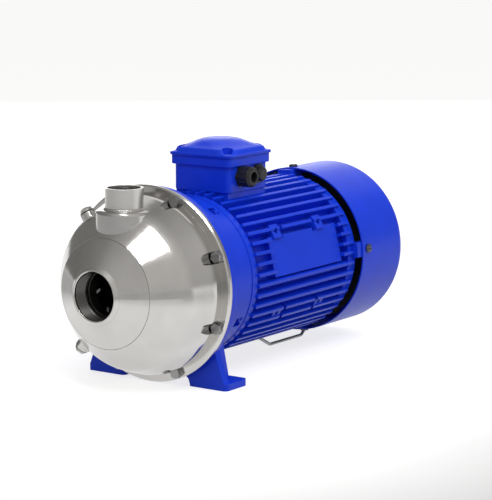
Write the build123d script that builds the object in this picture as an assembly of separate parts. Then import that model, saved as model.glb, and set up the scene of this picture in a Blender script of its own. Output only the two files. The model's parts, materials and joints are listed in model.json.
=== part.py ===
from build123d import *
from math import cos, hypot, radians, sin
import os

# A close-coupled end-suction centrifugal pump. A pressed stainless casing with a threaded mouth in
# front and a threaded outlet on top is screwed to a bracket with two feet, and the bracket carries
# a finned, fan-cooled motor. One shaft runs from the impeller to the fan.
# All sizes are in millimetres. The origin is the centre of the suction mouth, where its thread
# starts. +Y runs along the shaft to the fan cover, +Z is up, and +X is the side with the cable gland.

# Overall
shaft_height = 100.0
running_gap = 0.2
seat_gap = 0.05
sheet_wall = 2.5

# Suction socket and casing, as (radius, station) corners of the outer surface
suction_bore_r = 23.9
suction_thread_length = 18.0
suction_lip_r = 24.75
suction_lip = 0.85
socket_r = 29.0
dish_slope = 0.563
dish_r = 54.4
dish_station = 16.7
cone_r = 80.0
cone_station = 45.0
shoulder_r = 84.6
shoulder_station = 58.0
waist_r = 86.4
waist_station = 63.0
band_r = 90.2
band_station = 73.5
groove_width = 1.1
groove_depth = 0.9

# Joint between casing, seal disc and bracket
flange_r = 98.5
flange_thickness = 3.0
flange_station = 85.0
land_r = 84.0
land_length = 6.0
o_ring_section_r = 1.95
screw_count = 8
screw_first_angle = 22.5
screw_pitch_r = 92.0
screw_r = 3.0
screw_hole_r = 3.3
screw_flats = 10.0
screw_head = 4.0
screw_washer = 1.2
screw_length = 13.0
pocket_r = 6.4
pocket_wall = 1.6
pocket_start = 65.0

# Discharge
outlet_station = 48.2
outlet_top = shaft_height
outlet_bore_r = 16.62
outlet_wall = 2.13
outlet_length = 25.5
bulge_r = 28.0
bulge_bottom = 30.0
bulge_top = 79.0
bulge_round = 4.0

# Fill and drain plugs
plug_station = 50.0
fill_angle = 124.0
drain_angle = 229.0
plug_seat_r = 85.0
plug_boss_r = 7.8
plug_thread_r = 4.8
plug_thread_length = 9.0
plug_flats = 13.0
plug_head = 4.5
plug_seal = 1.2

# Shaft, along its line
shaft_nose_r = 6.0
hub_r = 8.0
seal_shaft_r = 10.0
bearing_shaft_r = 12.5
core_shaft_r = 15.0
fan_shaft_r = 9.0
shaft_start = 33.0
hub_station = 46.0
hub_shoulder = 64.0
front_bearing_station = 131.0
shaft_end = 392.0

# Impeller
impeller_r = 69.0
impeller_outlet = 8.0
impeller_wall = 2.0
eye_r = 22.4
neck_r = 24.6
neck_start = 20.0
back_plate_station = 56.0
hub_outer_r = 14.0
vane_count = 6
vane_wall = 2.0
vane_wrap = 75.0
key_size = 4.0
nut_flats = 19.0
nut_height = 9.0
impeller_washer_wall = 1.5

# Shaft seal
disc_r = 98.0
disc_cup_r = 80.0
disc_front_r = 71.0
disc_step_station = 68.0
chamber_r = 19.5
chamber_end = 87.0
seat_length = 7.0
seat_bore_r = 11.0
seat_ring_r = 16.5
seal_head_length = 7.0
seal_head_r = 17.0
bellows_start = 65.5
seal_wire_r = 0.8
seal_turns = 2

# Bearings, the 25 x 52 x 15 size
bearing_bore_r = bearing_shaft_r
bearing_outer_r = 26.0
bearing_width = 15.0
bearing_ball_r = 3.9
bearing_ball_count = 9

# Bracket with feet
bracket_flange_r = 96.5
bracket_flange = 9.0
bracket_r = 80.0
bracket_wall = 6.0
bracket_end = 150.0
bracket_web = 6.0
bearing_boss_wall = 7.0
spigot_length = 4.0
foot_half_span = 86.9
foot_inner = 40.0
foot_front = 95.5
foot_length = 36.6
foot_thickness = 7.0
foot_corner = 5.0
leg_thickness = 8.5
leg_top_x = 73.2
leg_top_z = -63.0
leg_bottom_x = 84.0
rib_x = 62.0
rib_thickness = 7.0
foot_hole_x = 71.0
foot_hole_r = 4.5
joint_screw_first_angle = 60.0
joint_screw_count = 4
joint_screw_pitch_r = 75.6
joint_screw_r = 2.5
joint_screw_flats = 8.0
joint_screw_head = 4.0
joint_screw_length = 9.0
joint_screw_seat = 5.0
joint_pocket_r = 5.2

# Motor frame
frame_end = 335.0
frame_bore_r = 68.0
frame_tube_wall = 4.0
frame_ring = 8.0
frame_ring_r = 80.6
fin_r = 83.5
fin_count = 48
fin_wall = 3.4
side_pad_distance = 77.4
side_pad_angle = 14.0
side_pad_width = 41.0
side_pad_start = 191.0
side_pad_end = 315.0
foot_boss_angles = (32.0, -30.0)
foot_boss_stations = (206.0, 284.0)
foot_boss_length = 14.0
foot_boss_width = 15.0
foot_boss_distance = 82.0
foot_boss_hole_r = 2.6
foot_boss_gap = 5.0

# Stator and rotor
core_start = 186.0
core_length = 100.0
air_gap = 0.4
rotor_r = 40.0
slot_count = 24
slot_width = 5.0
slot_root_r = 57.0
slot_mouth_r = 43.0
winding_overhang = 20.0
winding_gap = 0.3
end_ring_length = 8.0
end_ring_wall = 16.0

# Rear shield, fan and cover
shield_wall = 6.0
rear_bearing_station = 324.0
shield_boss_end = 344.0
wave_washer_wall = 1.0
cover_r = 89.0
cover_wall = 1.5
cover_start = 343.5
cover_end = 430.0
cover_round = 12.0
lug_count = 4
lug_first_angle = 5.0
lug_width = 16.0
lug_length = 22.0
lug_depth = 9.0
lug_screw_station = 353.6
lug_screw_r = 2.5
lug_screw_head_r = 4.6
lug_screw_head = 2.6
lug_screw_length = 8.0
fan_station = 362.0
fan_r = 66.0
fan_plate = 2.5
fan_blade_height = 22.0
fan_blade_count = 9
fan_blade_wall = 2.2
fan_hub_r = 15.0
fan_clip_wall = 1.2
fan_clip_r = 12.5
grille_inner_r = 20.0
grille_slot = 4.0
grille_pitch = 8.0
grille_rings = 6
grille_spoke = 5.0
grille_spokes = 6

# Wire stand
wire_r = 1.75
wire_front_station = 274.0
wire_front_bottom = 298.0
wire_rear_bottom = 359.0
wire_rear_station = 371.0
wire_corner_rise = 10.0
wire_bend_r = 5.0
wire_hook = 5.0

# Terminal box
box_station = 207.7
box_bottom = 82.0
box_top = 110.0
box_half = 32.5
box_corner = 9.0
box_wall = 3.5
box_floor = 4.0
box_lug = 29.5
box_lug_r = 5.5
box_lug_height = 14.0
lead_hole_r = 8.0
gasket_wall = 1.5
lid_half = 37.7
lid_swell = 1.6
lid_bottom = 108.5
lid_deck = 122.0
lid_wall = 3.2
lid_corner = 8.0
dome_r = 39.0
dome_rim = 3.5
dome_rise = 4.2
dome_round = 2.0
button_r = 13.5
button_rise = 2.0
lid_screw_r = 2.2
lid_screw_head_r = 4.0
lid_screw_head = 2.4
lid_screw_length = 20.0
block_length = 42.0
block_width = 26.0
block_height = 10.0
stud_r = 2.0
stud_rise = 9.0
stud_spacing = 13.0
link_wall = 1.0
link_width = 6.0

# Cable gland and blanking plug
entry_height = 98.0
gland_station = 195.0
blank_station = 223.0
entry_r = 8.0
gland_flats = 20.0
gland_collar = 5.0
gland_bore_r = 5.5
gland_neck_r = 8.0
gland_neck = 8.0
gland_nut_r = 10.5
gland_nut = 13.0
gland_seal_length = 5.0
blank_flats = 18.0
blank_head = 6.0
blank_cap = 8.0
blank_cap_r = 7.5

# Places that follow from the sizes above
disc_station = flange_station + flange_thickness
bracket_start = disc_station + sheet_wall
outlet_r = outlet_bore_r + outlet_wall
wear_ring_r = socket_r - 1.5
socket_end = neck_start + 10.0
rotor_core_end = core_start + core_length
cover_inner_r = cover_r - cover_wall
frame_tube_r = frame_bore_r + frame_tube_wall
shield_start = frame_end
front_bearing_end = front_bearing_station + bearing_width
rear_bearing_end = rear_bearing_station + bearing_width
floor = -shaft_height

UP = (Align.CENTER, Align.CENTER, Align.MIN)


def turned(*corners):
    """Solid of revolution about the shaft line, from (radius, station) corners."""
    return revolve(make_face(Polyline(*corners, close=True)), Axis.Y)


def ring(outer_r, inner_r, start, length):
    """Plain ring about the shaft line."""
    end = start + length
    return turned((inner_r, start), (outer_r, start), (outer_r, end), (inner_r, end))


def bar(radius, start, length, x=0.0, z=0.0):
    """Round bar parallel to the shaft."""
    return Pos(x, start, z) * Rot(-90, 0, 0) * Cylinder(radius, length, align=UP)


def spun(angle, solid):
    """The solid turned about the shaft line, from +X towards +Z."""
    return Rot(0, -angle, 0) * solid


def angles(count, first):
    """Evenly spread angles, in degrees."""
    return [first + 360.0 * i / count for i in range(count)]


def hex_bar(flats, height):
    """Hexagonal bar that stands on the XY plane."""
    return extrude(RegularPolygon(flats / 2, 6, major_radius=False), height)


def outward(angle, station, solid):
    """Carries a solid that stands along +Z to the given angle, pointing away from the shaft."""
    return Pos(0, station, 0) * Rot(0, 90 - angle, 0) * solid


def inset(corners, wall):
    """Corners of the line that runs at a distance inside a turned outline."""
    normals = []
    for (r0, y0), (r1, y1) in zip(corners, corners[1:]):
        length = hypot(r1 - r0, y1 - y0)
        normals.append((-(y1 - y0) / length, (r1 - r0) / length))
    moved = [(corners[0][0] + wall * normals[0][0], corners[0][1] + wall * normals[0][1])]
    for (r, y), (a, b), (c, d) in zip(corners[1:], normals, normals[1:]):
        share = wall / (1 + a * c + b * d)
        moved.append((r + share * (a + c), y + share * (b + d)))
    r, y = corners[-1]
    moved.append((r + wall * normals[-1][0], y + wall * normals[-1][1]))
    return moved


def rounded_turned(corners, rounds):
    """Solid that fills the space between a rounded outline and the shaft line."""
    outline = FilletPolyline(*corners, radius=rounds)
    first, last = corners[0], corners[-1]
    closing = Polyline(last, (0, last[1]), (0, first[1]), first)
    return revolve(make_face(outline + closing), Axis.Y)


# Pump casing

def casing_corners():
    """Outer outline of the casing, from the socket to the flange."""
    dish_start = dish_station - dish_slope * (dish_r - socket_r)
    return [
        (socket_r, dish_start),
        (dish_r, dish_station),
        (cone_r, cone_station),
        (shoulder_r, shoulder_station),
        (waist_r, waist_station),
        (band_r, band_station),
        (band_r, flange_station),
    ]


def vertical(radius, bottom, top, station=outlet_station):
    """Upright round bar on the outlet's line."""
    return Pos(0, station, bottom) * Cylinder(radius, top - bottom, align=UP)


def make_pump_casing():
    corners = casing_corners()
    rounds = [1.5, 30.0, 20.0, 12.0, 14.0]
    outside = rounded_turned(corners, rounds)
    inner = inset(corners, sheet_wall)
    inside = rounded_turned(inner, rounds)
    bulge = vertical(bulge_r, bulge_bottom, bulge_top)
    bulge = fillet(bulge.edges().group_by(Axis.Z)[-1], bulge_round)
    hollow = vertical(bulge_r - sheet_wall, bulge_bottom, bulge_top - sheet_wall)
    casing = (outside + bulge) - (inside + hollow)
    flange = turned(
        (land_r, flange_station - land_length + flange_thickness),
        (band_r - 1, flange_station - land_length + flange_thickness),
        (band_r - 1, flange_station),
        (flange_r - 1.4, flange_station),
        (flange_r, flange_station + 1.4),
        (flange_r, disc_station),
        (land_r, disc_station),
    )
    casing = casing + flange
    for angle in angles(screw_count, screw_first_angle):
        boss = bar(pocket_r + pocket_wall, pocket_start - pocket_wall,
                   disc_station - pocket_start + pocket_wall, screw_pitch_r)
        casing = casing + (spun(angle, boss) & outside)
    for angle in angles(screw_count, screw_first_angle):
        pocket = bar(pocket_r, pocket_start, flange_station - pocket_start, screw_pitch_r)
        hole = bar(screw_hole_r, flange_station, flange_thickness, screw_pitch_r)
        casing = casing - spun(angle, pocket + hole)
    for angle in (fill_angle, drain_angle):
        boss = Pos(0, 0, cone_r - 3) * Cylinder(plug_boss_r, plug_seat_r - cone_r + 3, align=UP)
        hole = Pos(0, 0, cone_r - 12) * Cylinder(plug_thread_r + seat_gap, 30, align=UP)
        casing = casing + outward(angle, plug_station, boss) - outward(angle, plug_station, hole)
    casing = casing - vertical(outlet_r, 50, outlet_top)
    casing = casing - bar(socket_r, -10, 30)
    groove = turned(
        (dish_r - groove_width, dish_station - 3),
        (dish_r, dish_station + groove_depth),
        (dish_r + groove_width, dish_station - 3),
    )
    return casing - groove


def make_suction_socket():
    front = dish_station - dish_slope * (dish_r - socket_r)
    return turned(
        (suction_lip_r, -suction_lip),
        (suction_lip_r + 0.8, -suction_lip),
        (socket_r, front),
        (socket_r, socket_end),
        (wear_ring_r, socket_end),
        (wear_ring_r, suction_thread_length),
        (suction_bore_r, suction_thread_length),
        (suction_bore_r, 0),
    )


def make_discharge_nozzle():
    tube = vertical(outlet_r, outlet_top - outlet_length, outlet_top)
    return tube - vertical(outlet_bore_r, outlet_top - outlet_length, outlet_top)


def make_wear_ring():
    return ring(wear_ring_r, neck_r + running_gap, suction_thread_length + 1.5,
                socket_end - suction_thread_length - 1.5)


def make_plug(angle):
    """Hexagon plug with its flange, pointing away from the shaft."""
    seat = plug_seat_r + plug_seal
    shank = Pos(0, 0, seat - plug_thread_length) * Cylinder(plug_thread_r, plug_thread_length, align=UP)
    collar = Pos(0, 0, seat) * Cylinder(plug_boss_r - 0.3, 1.5, align=UP)
    head = Pos(0, 0, seat + 1.5) * hex_bar(plug_flats, plug_head)
    head = head & Pos(0, 0, seat + 1.5) * Cone(plug_flats * 0.62, plug_flats * 0.5, plug_head, align=UP)
    return outward(angle, plug_station, shank + collar + head)


def make_plug_seal(angle):
    washer = Cylinder(plug_boss_r - 0.6, plug_seal, align=UP)
    washer = washer - Cylinder(plug_thread_r + seat_gap, plug_seal, align=UP)
    return outward(angle, plug_station, Pos(0, 0, plug_seat_r) * washer)


def make_casing_screws():
    seat = flange_station - screw_washer
    solids = []
    for angle in angles(screw_count, screw_first_angle):
        head = Rot(90, 0, 0) * hex_bar(screw_flats, screw_head)
        screw = Pos(screw_pitch_r, seat, 0) * head
        screw = screw + bar(screw_r * 1.95, seat, screw_washer, screw_pitch_r)
        screw = screw + bar(screw_r, seat, screw_washer + screw_length, screw_pitch_r)
        solids.append(spun(angle, screw))
    return solids


def make_casing_o_ring():
    centre_r = (land_r + disc_cup_r) / 2
    section = Pos(centre_r, disc_station - o_ring_section_r) * Circle(o_ring_section_r)
    return revolve(section, Axis.Y)


def make_seal_disc():
    cup_start = back_plate_station + 6.0
    inner = disc_cup_r - sheet_wall
    front_inner = disc_front_r - sheet_wall
    cup_r = chamber_r + sheet_wall
    disc = turned(
        (cup_r, cup_start),
        (disc_front_r, cup_start),
        (disc_front_r, disc_step_station),
        (disc_cup_r, disc_step_station),
        (disc_cup_r, disc_station),
        (disc_r, disc_station),
        (disc_r, bracket_start),
        (inner, bracket_start),
        (inner, disc_step_station + sheet_wall),
        (front_inner, disc_step_station + sheet_wall),
        (front_inner, cup_start + sheet_wall),
        (cup_r, cup_start + sheet_wall),
        (cup_r, chamber_end + sheet_wall),
        (seat_bore_r + 1.5, chamber_end + sheet_wall),
        (seat_bore_r + 1.5, chamber_end),
        (chamber_r, chamber_end),
        (chamber_r, cup_start),
    )
    for angle in angles(screw_count, screw_first_angle):
        disc = disc - spun(angle, bar(screw_hole_r, disc_station, sheet_wall, screw_pitch_r))
    return disc


# Shaft seal

def make_seal_seat():
    start = chamber_end - seat_length
    return turned(
        (seat_bore_r, start - 1),
        (seat_ring_r - 2, start - 1),
        (seat_ring_r - 2, start),
        (seat_ring_r, start),
        (seat_ring_r, chamber_end - 1.5),
        (seat_bore_r, chamber_end - 1.5),
    )


def make_seal_seat_cup():
    start = chamber_end - seat_length
    return turned(
        (seat_ring_r, start),
        (chamber_r, start),
        (chamber_r, chamber_end),
        (seat_bore_r + 2, chamber_end),
        (seat_bore_r + 2, chamber_end - 1.5),
        (seat_ring_r, chamber_end - 1.5),
    )


def seal_face():
    """Station where the turning and the fixed seal faces run on each other."""
    return chamber_end - seat_length - 1.0


def make_seal_head():
    start = seal_face() - seat_gap - seal_head_length
    end = start + seal_head_length
    return turned(
        (seal_shaft_r + 2.5, start),
        (seal_head_r, start),
        (seal_head_r, end - 2),
        (seal_head_r - 2.5, end - 2),
        (seal_head_r - 2.5, end),
        (seal_shaft_r + 1.2, end),
        (seal_shaft_r + 1.2, end - 3),
        (seal_shaft_r + 2.5, end - 3),
    )


def make_seal_bellows():
    start = bellows_start
    end = seal_face() - seat_gap - 3.0
    return turned(
        (seal_shaft_r, start),
        (seal_shaft_r + 3.0, start),
        (seal_shaft_r + 3.0, start + 3),
        (seal_shaft_r + 2.5, start + 3),
        (seal_shaft_r + 2.5, end),
        (seal_shaft_r, end),
    )


def make_seal_spring():
    start = bellows_start + seal_wire_r
    end = seal_face() - seat_gap - seal_head_length - seal_wire_r
    radius = seal_shaft_r + 3.2 + seal_wire_r
    height = end - start
    path = Helix(height / seal_turns, height, radius)
    section = Plane(origin=path @ 0, z_dir=path % 0) * RegularPolygon(seal_wire_r, 8)
    coil = sweep(section, path)
    return Pos(0, start, 0) * Rot(-90, 0, 0) * coil


# Impeller

def vane_outline():
    """Plan of one backward-swept vane on the XY plane, as an arc band from eye to rim."""
    def on_line(share, side):
        radius = eye_r - 3 + share * (impeller_r - eye_r + 3 - 0.6)
        turn = radians(-vane_wrap * share ** 0.8)
        lean = side * vane_wall / 2 / radius
        return (radius * cos(turn + lean), radius * sin(turn + lean))
    outer = Spline(*[on_line(share, 1.6) for share in (0, 0.33, 0.66, 1)])
    inner = Spline(*[on_line(share, -1.6) for share in (1, 0.66, 0.33, 0)])
    tip = Line(outer @ 1, inner @ 0)
    root = Line(inner @ 1, outer @ 0)
    return make_face(outer + tip + inner + root)


def make_impeller():
    outlet = back_plate_station - impeller_outlet
    eye_end = neck_start + 12.0
    shroud = turned(
        (eye_r, neck_start),
        (neck_r, neck_start),
        (neck_r, eye_end - 1),
        (impeller_r, outlet - impeller_wall),
        (impeller_r, outlet),
        (eye_r, eye_end),
    )
    plate = ring(impeller_r, hub_r + seat_gap, back_plate_station, impeller_wall)
    hub = turned(
        (hub_r + seat_gap, hub_station),
        (hub_outer_r - 2, hub_station),
        (hub_outer_r + 6, back_plate_station),
        (hub_outer_r, back_plate_station + impeller_wall),
        (hub_outer_r, hub_shoulder),
        (hub_r + seat_gap, hub_shoulder),
    )
    space = turned(
        (eye_r - 4, eye_end + 2),
        (eye_r, eye_end - 0.5),
        (impeller_r, outlet - 0.5),
        (impeller_r, back_plate_station + 0.5),
        (eye_r - 4, back_plate_station + 0.5),
    )
    vane = Pos(0, eye_end - 2, 0) * Rot(-90, 0, 0) * extrude(vane_outline(), back_plate_station - eye_end + 4)
    vane = vane & space
    solid = shroud + plate + hub
    for angle in angles(vane_count, 0):
        solid = solid + spun(angle, vane)
    keyway = Pos(hub_r, hub_station, 0) * Box(
        key_size, hub_shoulder - hub_station, key_size,
        align=(Align.CENTER, Align.MIN, Align.CENTER))
    return solid - keyway


def make_impeller_key():
    length = hub_shoulder - hub_station - 6
    return Pos(hub_r, hub_station + 2, 0) * Box(
        key_size - 2 * seat_gap, length, key_size - 2 * seat_gap,
        align=(Align.CENTER, Align.MIN, Align.CENTER))


def make_impeller_washer():
    start = hub_station - impeller_washer_wall
    return ring(hub_outer_r - 3, shaft_nose_r + seat_gap, start, impeller_washer_wall)


def make_impeller_nut():
    start = hub_station - impeller_washer_wall
    nut = Pos(0, start, 0) * Rot(90, 0, 0) * hex_bar(nut_flats, nut_height)
    front = start - nut_height
    dome = turned((0, front - 2), (6, front - 0.6), (nut_flats * 0.62, front + 5), (nut_flats * 0.62, start), (0, start))
    cap = bar(nut_flats / 2 - 0.8, front - 2, 3)
    nut = (nut + cap) & dome
    return nut - bar(shaft_nose_r + seat_gap, shaft_start - seat_gap, hub_station - shaft_start)


def make_shaft():
    neck = front_bearing_station - 8.0
    shaft = turned(
        (0, shaft_start + 2),
        (shaft_nose_r, shaft_start + 2),
        (shaft_nose_r, hub_station),
        (hub_r, hub_station),
        (hub_r, hub_shoulder),
        (seal_shaft_r, hub_shoulder),
        (seal_shaft_r, neck),
        (bearing_shaft_r, neck),
        (bearing_shaft_r, front_bearing_end),
        (core_shaft_r, front_bearing_end),
        (core_shaft_r, rear_bearing_station),
        (bearing_shaft_r, rear_bearing_station),
        (bearing_shaft_r, rear_bearing_end),
        (fan_shaft_r, rear_bearing_end),
        (fan_shaft_r, shaft_end - 1),
        (fan_shaft_r - 1, shaft_end),
        (0, shaft_end),
    )
    seat = Pos(hub_r, hub_station + 2 - seat_gap, 0) * Box(
        key_size, hub_shoulder - hub_station - 6 + 2 * seat_gap, key_size,
        align=(Align.CENTER, Align.MIN, Align.CENTER))
    groove_start = fan_station + fan_blade_height + seat_gap
    groove = ring(fan_shaft_r + 2, fan_shaft_r - 0.7, groove_start, fan_clip_wall + 2 * seat_gap)
    return shaft - seat - groove


def make_slinger():
    start = bracket_start + 10.0
    return turned(
        (seal_shaft_r, start),
        (seal_shaft_r + 4, start),
        (seal_shaft_r + 9, start + 5),
        (seal_shaft_r + 8, start + 6),
        (seal_shaft_r + 3, start + 3),
        (seal_shaft_r, start + 5),
    )


def make_rotor_core():
    core = ring(rotor_r - air_gap, core_shaft_r, core_start, core_length)
    for start in (core_start - end_ring_length, rotor_core_end):
        core = core + ring(rotor_r - 2, rotor_r - end_ring_wall, start, end_ring_length)
    return core


# Bearings

def bearing_groove(start):
    """Torus that both rings are ground to."""
    centre_r = (bearing_bore_r + bearing_outer_r) / 2
    section = Pos(centre_r, start + bearing_width / 2) * Circle(bearing_ball_r + running_gap / 4)
    return revolve(section, Axis.Y)


def make_bearing_inner(start):
    return ring(bearing_bore_r + 4.2, bearing_bore_r, start, bearing_width) - bearing_groove(start)


def make_bearing_outer(start):
    return ring(bearing_outer_r, bearing_outer_r - 4.2, start, bearing_width) - bearing_groove(start)


def make_bearing_balls(start):
    centre_r = (bearing_bore_r + bearing_outer_r) / 2
    middle = start + bearing_width / 2
    cage = ring(centre_r + 1.2, centre_r - 1.2, middle - 1.6, 3.2)
    balls = [spun(a, Pos(centre_r, middle, 0) * Sphere(bearing_ball_r)) for a in angles(bearing_ball_count, 0)]
    for ball in balls:
        cage = cage + ball
    return cage


# Bracket with feet

def foot(side):
    """One foot with its leg and rib, on the side given by the sign of x."""
    pad = Pos(side * (foot_half_span + foot_inner) / 2, foot_front + foot_length / 2, floor) * Box(
        foot_half_span - foot_inner, foot_length, foot_thickness, align=UP)
    pad = fillet(pad.edges().filter_by(Axis.Z), foot_corner)
    pad_top = floor + foot_thickness
    leg_face = make_face(Polyline(
        (side * 20, -60),
        (side * (leg_top_x - 8), leg_top_z + 20),
        (side * leg_top_x, leg_top_z),
        (side * leg_bottom_x, pad_top),
        (side * leg_bottom_x, floor + 1),
        (side * (foot_inner + 3), floor + 1),
        (side * (foot_inner + 1), pad_top),
        (side * 26, -78),
        close=True))
    leg = Pos(0, foot_front, 0) * Rot(90, 0, 0) * extrude(leg_face, -leg_thickness)
    rib_face = make_face(Polyline(
        (foot_front + leg_thickness, floor + 1),
        (foot_front + foot_length - 3, floor + 1),
        (foot_front + foot_length - 3, pad_top + 2),
        (foot_front + leg_thickness + 14, -50),
        (foot_front + leg_thickness, -45),
        close=True))
    rib = Rot(0, 0, 90) * Rot(90, 0, 0) * extrude(rib_face, rib_thickness)
    rib = Pos(side * rib_x - rib_thickness / 2, 0, 0) * rib
    hole = Pos(side * foot_hole_x, foot_front + foot_length / 2, floor) * Cylinder(
        foot_hole_r, foot_thickness + 5, align=UP)
    return pad + leg + rib - hole


def make_adapter():
    inner_r = bracket_r - bracket_wall
    web_start = front_bearing_station - 3.0
    boss_r = bearing_outer_r + bearing_boss_wall
    body = ring(bracket_r, inner_r, bracket_start, bracket_end - bracket_start)
    body = body + ring(bracket_flange_r, inner_r, bracket_start, bracket_flange)
    body = body + foot(1) + foot(-1)
    core = bar(inner_r, bracket_start - 1, bracket_end - bracket_start + spigot_length + 2)
    body = body - core
    for angle in angles(joint_screw_count, joint_screw_first_angle):
        boss = bar(joint_pocket_r + 2, bracket_end - 17, 17, joint_screw_pitch_r)
        body = body + (spun(angle, boss) & bar(bracket_r, bracket_end - 17, 17))
    web = turned(
        (seal_shaft_r + 4, web_start),
        (inner_r, web_start + 3),
        (inner_r, web_start + 3 + bracket_web),
        (boss_r, web_start + bracket_web),
        (boss_r, front_bearing_end + 1),
        (bearing_outer_r, front_bearing_end + 1),
        (bearing_outer_r, front_bearing_station),
        (bearing_shaft_r + 4, front_bearing_station),
    )
    spigot = ring(frame_bore_r - seat_gap, frame_bore_r - 5, bracket_end - 6, spigot_length + 6)
    ledge = ring(inner_r, frame_bore_r - 5, bracket_end - 6, 6)
    body = body + web + ledge + spigot
    for angle in angles(joint_screw_count, joint_screw_first_angle):
        seat = bracket_end - joint_screw_seat
        pocket = bar(joint_pocket_r, seat - 10, 10, joint_screw_pitch_r)
        slot = Pos(joint_screw_pitch_r, seat - 10, 0) * Box(
            20, 10, 2 * joint_pocket_r, align=(Align.MIN, Align.MIN, Align.CENTER))
        hole = bar(joint_screw_r + 0.3, seat, joint_screw_seat, joint_screw_pitch_r)
        body = body - spun(angle, pocket + slot + hole)
    for angle in angles(screw_count, screw_first_angle):
        body = body - spun(angle, bar(screw_r + seat_gap, bracket_start, 11, screw_pitch_r))
    drain = Pos(0, bracket_start + 22, -bracket_r) * Box(26, 14, 20)
    return body - drain


def make_joint_screws(seat, towards):
    """Hexagon screws that hold the frame: towards is +1 when they point to the rear."""
    solids = []
    for angle in angles(joint_screw_count, joint_screw_first_angle):
        head = Rot(90 * towards, 0, 0) * hex_bar(joint_screw_flats, joint_screw_head)
        screw = Pos(joint_screw_pitch_r, seat, 0) * head
        length = joint_screw_length + joint_screw_seat
        start = seat if towards > 0 else seat - length
        screw = screw + bar(joint_screw_r, start, length, joint_screw_pitch_r)
        solids.append(spun(angle, screw))
    return solids


# Motor frame

def side_block(angle, distance, depth, width, start, end):
    """Block whose outer face lies at a distance from the shaft line, square to the angle."""
    block = Pos(distance - depth, start, 0) * Box(
        depth, end - start, width, align=(Align.MIN, Align.MIN, Align.CENTER))
    return spun(angle, block)


def make_motor_frame():
    gear = Circle(frame_tube_r)
    fin = Pos((frame_bore_r + fin_r) / 2, 0) * Rectangle(fin_r - frame_bore_r, fin_wall)
    for angle in angles(fin_count, 360.0 / fin_count / 2):
        gear = gear + Rot(0, 0, angle) * fin
    start = bracket_end + frame_ring
    body = Pos(0, start, 0) * Rot(-90, 0, 0) * extrude(gear, frame_end - start)
    body = body + bar(frame_ring_r, bracket_end, frame_ring)
    body = body + bar(frame_ring_r, frame_end - frame_ring, frame_ring)
    reach = 20.0
    for angle in (side_pad_angle, 180 - side_pad_angle):
        body = body - side_block(angle, side_pad_distance + reach, reach, side_pad_width,
                                 side_pad_start, side_pad_end)
        body = body + side_block(angle, side_pad_distance, 8.0, side_pad_width, side_pad_start, side_pad_end)
    for up in foot_boss_angles:
        for angle in (up, 180 - up):
            middle = sum(foot_boss_stations) / 2
            for station in foot_boss_stations:
                inner = 1 if station < middle else -1
                low = station - foot_boss_length / 2
                high = station + foot_boss_length / 2
                gap_low = high if inner > 0 else low - foot_boss_gap
                body = body - side_block(angle, fin_r + 2, 11.0, foot_boss_width,
                                         gap_low, gap_low + foot_boss_gap)
                body = body + side_block(angle, foot_boss_distance, 12.0, foot_boss_width, low, high)
                hole = Pos(0, 0, foot_boss_distance - 7) * Cylinder(foot_boss_hole_r, 12, align=UP)
                body = body - outward(angle, station, hole)
    seat = Pos(0, box_station, frame_bore_r + 1) * Box(
        2 * box_half, 2 * box_half, box_bottom - frame_bore_r - 1, align=UP)
    clear = Pos(0, box_station, box_bottom) * Box(2 * box_half + 4, 2 * box_half + 4, 12, align=UP)
    body = body + seat - clear
    hook = Pos(0, wire_front_station, -fin_r) * Box(12, 16, 12, align=UP)
    body = body + hook
    body = body - bar(frame_bore_r, bracket_end - 1, frame_end - bracket_end + 2)
    body = body - Pos(0, box_station, frame_bore_r - 5) * Cylinder(lead_hole_r, 40, align=UP)
    for angle in angles(joint_screw_count, joint_screw_first_angle):
        for low in (bracket_end, frame_end - joint_screw_length - 1):
            body = body - spun(angle, bar(joint_screw_r + seat_gap, low, joint_screw_length + 1,
                                          joint_screw_pitch_r))
    return body - wire_path(wire_r + seat_gap)


def make_stator_core():
    core = ring(frame_bore_r - seat_gap, rotor_r, core_start, core_length)
    depth = slot_root_r - slot_mouth_r
    for angle in angles(slot_count, 0):
        slot = Pos(slot_mouth_r, core_start, 0) * Box(
            depth, core_length, slot_width, align=(Align.MIN, Align.MIN, Align.CENTER))
        core = core - spun(angle, slot)
    return core


def make_windings():
    depth = slot_root_r - slot_mouth_r - 2 * winding_gap
    length = core_length + 2 * winding_overhang
    coil = None
    for start in (core_start - winding_overhang, rotor_core_end + winding_gap):
        end = start + winding_overhang - winding_gap
        part = turned(
            (slot_mouth_r + 2, start + 3),
            (slot_mouth_r + 5, start),
            (slot_root_r + 1, start),
            (slot_root_r + 4, start + 3),
            (slot_root_r + 4, end - 3),
            (slot_root_r + 1, end),
            (slot_mouth_r + 5, end),
            (slot_mouth_r + 2, end - 3),
        )
        coil = part if coil is None else coil + part
    for angle in angles(slot_count, 0):
        side = Pos(slot_mouth_r + winding_gap, core_start - winding_overhang + 4, 0) * Box(
            depth, length - 8, slot_width - 2 * winding_gap,
            align=(Align.MIN, Align.MIN, Align.CENTER))
        coil = coil + spun(angle, side)
    return coil


# Rear shield, fan and cover

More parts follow.
